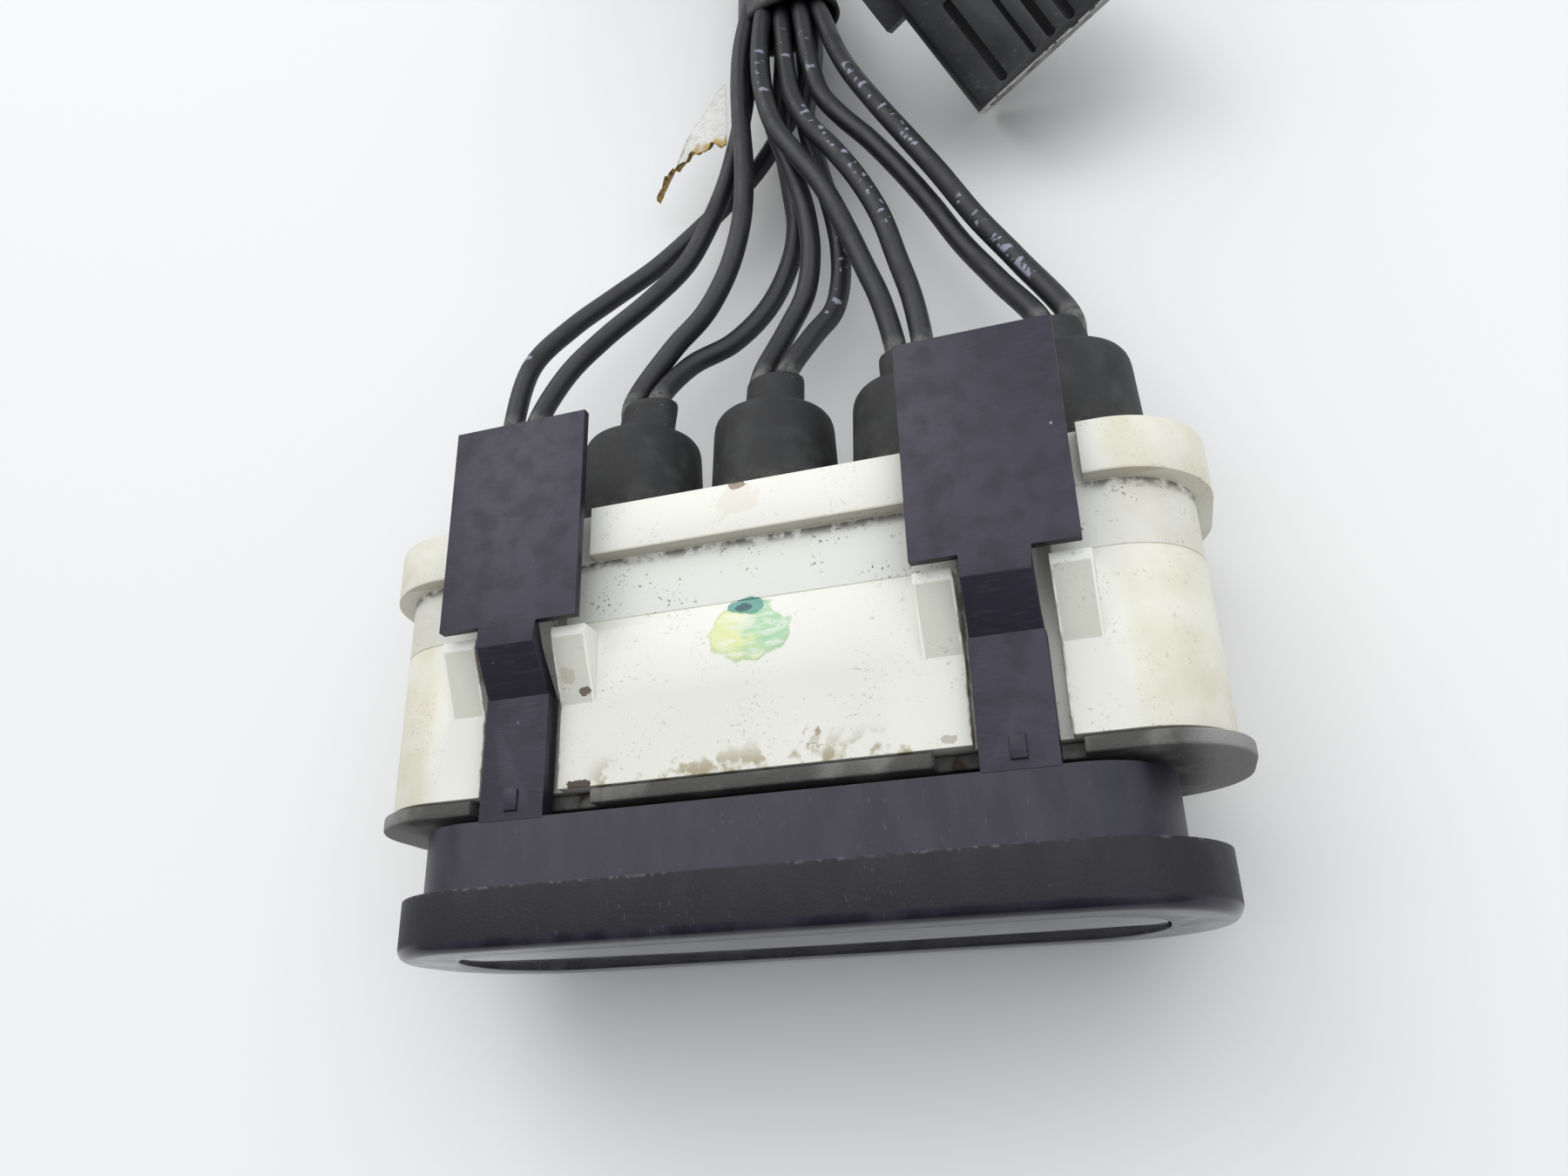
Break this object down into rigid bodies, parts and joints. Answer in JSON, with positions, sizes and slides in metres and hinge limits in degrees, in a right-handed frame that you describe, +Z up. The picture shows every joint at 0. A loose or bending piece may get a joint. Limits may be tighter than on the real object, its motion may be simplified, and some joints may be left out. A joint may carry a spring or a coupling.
{
  "type": "indicator lamp cluster",
  "caption": "Dashboard warning-lamp cluster: snap-in bezel with latch arms, cream lamp housing, rubber-booted lamps and a wire harness to a ribbed plug.",
  "frame": {"origin": "centre of the cluster's outline on the table, under the finger pads, measured without the harness", "axes": "+Z up with the cluster on its long side, -Y the way the lens looks, +Y the way the wires leave, +X along the row of lamps"},
  "size_m": [0.1189, 0.2991, 0.061],
  "materials": {
    "bezel_plastic": "fine-textured black ABS",
    "arm_plastic": "smooth black nylon, slightly scuffed",
    "housing_plastic": "cream-white moulded plastic, grimy along its edges",
    "lens_plastic": "smoked gloss acrylic",
    "filter_film": "translucent coloured strip",
    "gasket_foam": "dark grey closed-cell foam",
    "boot_rubber": "matte black rubber, dusty",
    "holder_plastic": "black nylon",
    "bulb_glass": "clear glass",
    "wire_insulation": "satin black insulation with pale print flecks",
    "sleeve_vinyl": "soft black vinyl tubing",
    "tag_paper": "aged translucent paper tape with yellowed torn edge",
    "plug_plastic": "black moulded nylon",
    "contact_brass": "tinned brass"
  },
  "bodies": {
    "cluster": {"bezel": "bezel_plastic", "lens": "lens_plastic", "filter_plate": "filter_film", "gasket": "gasket_foam", "lamp_housing": "housing_plastic", "wire_1a": "wire_insulation", "wire_1b": "wire_insulation", "wire_2a": "wire_insulation", "wire_2b": "wire_insulation", "wire_3a": "wire_insulation", "wire_3b": "wire_insulation", "wire_4a": "wire_insulation", "wire_4b": "wire_insulation", "wire_5a": "wire_insulation", "wire_5b": "wire_insulation", "sleeve": "sleeve_vinyl", "tag": "tag_paper", "plug_housing": "plug_plastic", "plug_grid": "plug_plastic", "plug_seal": "boot_rubber", "plug_rear_cover": "plug_plastic", "plug_contact_1": "contact_brass", "plug_contact_2": "contact_brass", "plug_contact_3": "contact_brass", "plug_contact_4": "contact_brass", "plug_contact_5": "contact_brass", "plug_contact_6": "contact_brass", "plug_contact_7": "contact_brass", "plug_contact_8": "contact_brass", "plug_contact_9": "contact_brass", "plug_contact_10": "contact_brass"},
    "latch_arm_top_left": {"latch_arm_top_left": "arm_plastic"},
    "latch_arm_top_right": {"latch_arm_top_right": "arm_plastic"},
    "latch_arm_bottom_left": {"latch_arm_bottom_left": "arm_plastic"},
    "latch_arm_bottom_right": {"latch_arm_bottom_right": "arm_plastic"},
    "lamp_1": {"boot_1": "boot_rubber", "lamp_holder_1": "holder_plastic", "bulb_1": "bulb_glass"},
    "lamp_2": {"boot_2": "boot_rubber", "lamp_holder_2": "holder_plastic", "bulb_2": "bulb_glass"},
    "lamp_3": {"boot_3": "boot_rubber", "lamp_holder_3": "holder_plastic", "bulb_3": "bulb_glass"},
    "lamp_4": {"boot_4": "boot_rubber", "lamp_holder_4": "holder_plastic", "bulb_4": "bulb_glass"},
    "lamp_5": {"boot_5": "boot_rubber", "lamp_holder_5": "holder_plastic", "bulb_5": "bulb_glass"},
    "plug_latch": {"plug_latch": "plug_plastic"}
  },
  "joints": [
    {"name": "latch_arm_top_left_flex", "type": "hinge", "parent": "cluster", "child": "latch_arm_top_left", "pos_m": [-0.02987, -0.02395, 0.0333], "axis": [1, 0, 0], "range_deg": [0, 6], "stiffness_Nm_per_rad": 5},
    {"name": "latch_arm_top_right_flex", "type": "hinge", "parent": "cluster", "child": "latch_arm_top_right", "pos_m": [0.02987, -0.02395, 0.0333], "axis": [1, 0, 0], "range_deg": [0, 6], "stiffness_Nm_per_rad": 5},
    {"name": "latch_arm_bottom_left_flex", "type": "hinge", "parent": "cluster", "child": "latch_arm_bottom_left", "pos_m": [-0.02987, -0.02395, 0.0053], "axis": [-1, 0, 0], "range_deg": [0, 6], "stiffness_Nm_per_rad": 5},
    {"name": "latch_arm_bottom_right_flex", "type": "hinge", "parent": "cluster", "child": "latch_arm_bottom_right", "pos_m": [0.02987, -0.02395, 0.0053], "axis": [-1, 0, 0], "range_deg": [0, 6], "stiffness_Nm_per_rad": 5},
    {"name": "lamp_1_pull", "type": "slide", "parent": "cluster", "child": "lamp_1", "axis": [0, 1, 0], "range_m": [0, 0.011], "deforming": ["wire_1a", "wire_1b"]},
    {"name": "lamp_2_pull", "type": "slide", "parent": "cluster", "child": "lamp_2", "axis": [0, 1, 0], "range_m": [0, 0.011], "deforming": ["wire_2a", "wire_2b"]},
    {"name": "lamp_3_pull", "type": "slide", "parent": "cluster", "child": "lamp_3", "axis": [0, 1, 0], "range_m": [0, 0.011], "deforming": ["wire_3a", "wire_3b"]},
    {"name": "lamp_4_pull", "type": "slide", "parent": "cluster", "child": "lamp_4", "axis": [0, 1, 0], "range_m": [0, 0.011], "deforming": ["wire_4a", "wire_4b"]},
    {"name": "lamp_5_pull", "type": "slide", "parent": "cluster", "child": "lamp_5", "axis": [0, 1, 0], "range_m": [0, 0.011], "deforming": ["wire_5a", "wire_5b"]},
    {"name": "plug_latch_flex", "type": "hinge", "parent": "cluster", "child": "plug_latch", "pos_m": [0.03436, 0.12322, 0.02415], "axis": [0.8791, 0.3234, 0.3502], "range_deg": [0, 5], "stiffness_Nm_per_rad": 0.5}
  ]
}
